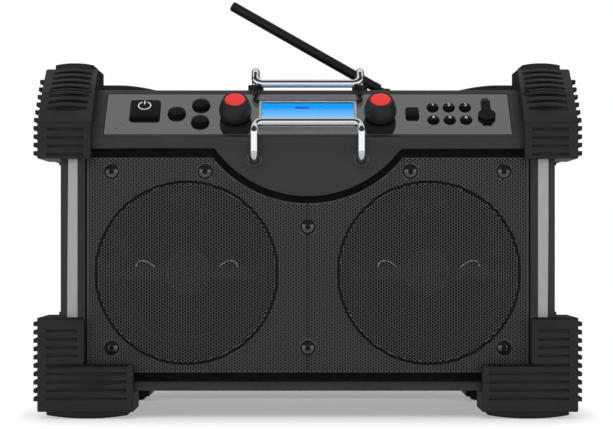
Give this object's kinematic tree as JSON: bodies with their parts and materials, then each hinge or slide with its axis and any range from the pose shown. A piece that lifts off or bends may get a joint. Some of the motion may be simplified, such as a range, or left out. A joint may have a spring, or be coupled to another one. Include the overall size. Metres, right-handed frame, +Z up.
{
  "type": "jobsite radio",
  "caption": "Jobsite radio with rubber corner bumpers, perforated speaker grille, sloping control panel, chromed guard bars, rubber aerial and a rear battery bay.",
  "frame": {"origin": "on the floor, under the middle of the radio", "axes": "+X to the right seen from the front, -Y out of the front, +Z up"},
  "size_m": [0.532, 0.264, 0.4272],
  "materials": {
    "cabinet_plastic": "fine grain, satin black",
    "grip_plastic": "satin black",
    "trim_aluminium": "brushed along its length",
    "baffle_board": "board stained black",
    "grille_steel": "satin dark grey paint",
    "black_screws": "black",
    "bright_screws": "zinc plated",
    "panel_gloss": "glossy mid grey",
    "circuit_board": "green solder mask",
    "clear_lens": "polished",
    "display_blue": "backlit blue",
    "light_lens": "translucent",
    "encoder_steel": "bright",
    "plunger_plastic": "natural",
    "knob_black": "satin black",
    "cap_red": "glossy red",
    "button_rubber": "satin black",
    "guard_chrome": "polished",
    "aerial_rubber": "satin black",
    "bumper_rubber": "matt dark grey",
    "speaker_steel": "satin black",
    "cone_paper": "pressed paper",
    "roll_rubber": "matt black",
    "magnet_ferrite": "ground ferrite and steel",
    "tweeter_plastic": "black",
    "transformer_core": "varnished laminations",
    "cell_sleeve": "plain printed sleeve"
  },
  "bodies": {
    "cabinet": {"main_housing": "cabinet_plastic", "front_frame": "cabinet_plastic", "trim_strips": "trim_aluminium", "speaker_baffle": "baffle_board", "speaker_grille": "grille_steel", "grille_screws": "black_screws", "rear_cover": "cabinet_plastic", "case_screws": "bright_screws", "side_grips": "grip_plastic", "control_panel": "panel_gloss", "control_board": "circuit_board", "display_lens": "clear_lens", "display_module": "display_blue", "status_lights": "light_lens", "rotary_encoders": "encoder_steel", "aux_socket": "grip_plastic", "front_guard_bar": "guard_chrome", "rear_guard_bar": "guard_chrome", "guard_bar_sockets": "grip_plastic", "aerial_base": "grip_plastic", "front_left_upper_bumper": "bumper_rubber", "front_right_upper_bumper": "bumper_rubber", "rear_left_upper_bumper": "bumper_rubber", "rear_right_upper_bumper": "bumper_rubber", "front_left_lower_bumper": "bumper_rubber", "front_right_lower_bumper": "bumper_rubber", "rear_left_lower_bumper": "bumper_rubber", "rear_right_lower_bumper": "bumper_rubber", "left_speaker_frame": "speaker_steel", "right_speaker_frame": "speaker_steel", "speaker_suspensions": "roll_rubber", "speaker_magnets": "magnet_ferrite", "left_tweeter": "tweeter_plastic", "right_tweeter": "tweeter_plastic", "main_board": "circuit_board", "transformer": "transformer_core", "battery_cells": "cell_sleeve", "mains_inlet": "grip_plastic"},
    "volume_dial": {"volume_knob": "knob_black", "volume_knob_cap": "cap_red"},
    "tuning_press": {"tuning_plunger": "plunger_plastic"},
    "tuning_dial": {"tuning_knob": "knob_black", "tuning_knob_cap": "cap_red"},
    "sound_input_flap": {"aux_cover": "button_rubber"},
    "aerial_turret": {"aerial_knuckle": "grip_plastic"},
    "aerial_whip": {"aerial": "aerial_rubber"},
    "battery_hatch": {"battery_door": "cabinet_plastic"},
    "left_cone": {"left_speaker_cone": "cone_paper"},
    "right_cone": {"right_speaker_cone": "cone_paper"},
    "power_button_cap": {"power_button": "button_rubber"},
    "mode_button_cap": {"mode_button": "button_rubber"},
    "band_button_cap": {"band_button": "button_rubber"},
    "tone_button_cap": {"tone_button": "button_rubber"},
    "alarm_button_cap": {"alarm_button": "button_rubber"},
    "preset_button_1_cap": {"preset_button_1": "button_rubber"},
    "preset_button_2_cap": {"preset_button_2": "button_rubber"},
    "preset_button_3_cap": {"preset_button_3": "button_rubber"},
    "preset_button_4_cap": {"preset_button_4": "button_rubber"},
    "preset_button_5_cap": {"preset_button_5": "button_rubber"},
    "preset_button_6_cap": {"preset_button_6": "button_rubber"}
  },
  "joints": [
    {"name": "volume_turn", "type": "hinge", "parent": "cabinet", "child": "volume_dial", "pos_m": [-0.071, -0.09423, 0.29367], "axis": [0, -0.6561, 0.7547], "continuous": true},
    {"name": "tuning_push", "type": "slide", "parent": "cabinet", "child": "tuning_press", "axis": [0, 0.6561, -0.7547], "range_m": [0, 0.0008], "stiffness_N_per_m": 3000, "springref_m": -0.0003},
    {"name": "tuning_turn", "type": "hinge", "parent": "tuning_press", "child": "tuning_dial", "pos_m": [0.071, -0.09423, 0.29367], "axis": [0, -0.6561, 0.7547], "continuous": true},
    {"name": "power_button_press", "type": "slide", "parent": "cabinet", "child": "power_button_cap", "axis": [0, 0.6561, -0.7547], "range_m": [0, 0.0012], "stiffness_N_per_m": 900, "springref_m": -0.0004},
    {"name": "mode_button_press", "type": "slide", "parent": "cabinet", "child": "mode_button_cap", "axis": [0, 0.6561, -0.7547], "range_m": [0, 0.0012], "stiffness_N_per_m": 900, "springref_m": -0.0004},
    {"name": "band_button_press", "type": "slide", "parent": "cabinet", "child": "band_button_cap", "axis": [0, 0.6561, -0.7547], "range_m": [0, 0.0012], "stiffness_N_per_m": 900, "springref_m": -0.0004},
    {"name": "tone_button_press", "type": "slide", "parent": "cabinet", "child": "tone_button_cap", "axis": [0, 0.6561, -0.7547], "range_m": [0, 0.0012], "stiffness_N_per_m": 900, "springref_m": -0.0004},
    {"name": "alarm_button_press", "type": "slide", "parent": "cabinet", "child": "alarm_button_cap", "axis": [0, 0.6561, -0.7547], "range_m": [0, 0.0012], "stiffness_N_per_m": 900, "springref_m": -0.0004},
    {"name": "preset_button_1_press", "type": "slide", "parent": "cabinet", "child": "preset_button_1_cap", "axis": [0, 0.6561, -0.7547], "range_m": [0, 0.0012], "stiffness_N_per_m": 900, "springref_m": -0.0004},
    {"name": "preset_button_2_press", "type": "slide", "parent": "cabinet", "child": "preset_button_2_cap", "axis": [0, 0.6561, -0.7547], "range_m": [0, 0.0012], "stiffness_N_per_m": 900, "springref_m": -0.0004},
    {"name": "preset_button_3_press", "type": "slide", "parent": "cabinet", "child": "preset_button_3_cap", "axis": [0, 0.6561, -0.7547], "range_m": [0, 0.0012], "stiffness_N_per_m": 900, "springref_m": -0.0004},
    {"name": "preset_button_4_press", "type": "slide", "parent": "cabinet", "child": "preset_button_4_cap", "axis": [0, 0.6561, -0.7547], "range_m": [0, 0.0012], "stiffness_N_per_m": 900, "springref_m": -0.0004},
    {"name": "preset_button_5_press", "type": "slide", "parent": "cabinet", "child": "preset_button_5_cap", "axis": [0, 0.6561, -0.7547], "range_m": [0, 0.0012], "stiffness_N_per_m": 900, "springref_m": -0.0004},
    {"name": "preset_button_6_press", "type": "slide", "parent": "cabinet", "child": "preset_button_6_cap", "axis": [0, 0.6561, -0.7547], "range_m": [0, 0.0012], "stiffness_N_per_m": 900, "springref_m": -0.0004},
    {"name": "sound_input_flap_hinge", "type": "hinge", "parent": "cabinet", "child": "sound_input_flap", "pos_m": [0.1758, -0.07652, 0.31065], "axis": [-1, 0, 0], "range_deg": [0, 100]},
    {"name": "aerial_swivel", "type": "hinge", "parent": "cabinet", "child": "aerial_turret", "pos_m": [0.084, 0.082, 0.3225], "axis": [0, 0, 1], "range_deg": [-90, 90]},
    {"name": "aerial_tilt", "type": "hinge", "parent": "aerial_turret", "child": "aerial_whip", "pos_m": [0.084, 0.082, 0.3295], "axis": [0, 1, 0], "range_deg": [-19, 60.4]},
    {"name": "battery_door_hinge", "type": "hinge", "parent": "cabinet", "child": "battery_hatch", "pos_m": [0, 0.1165, 0.045], "axis": [-1, 0, 0], "range_deg": [0, 95]},
    {"name": "left_cone_travel", "type": "slide", "parent": "cabinet", "child": "left_cone", "axis": [0, -1, 0], "range_m": [-0.003, 0.003], "stiffness_N_per_m": 1500, "deforming": ["speaker_suspensions"]},
    {"name": "right_cone_travel", "type": "slide", "parent": "cabinet", "child": "right_cone", "axis": [0, -1, 0], "range_m": [-0.003, 0.003], "stiffness_N_per_m": 1500, "deforming": ["speaker_suspensions"]}
  ]
}
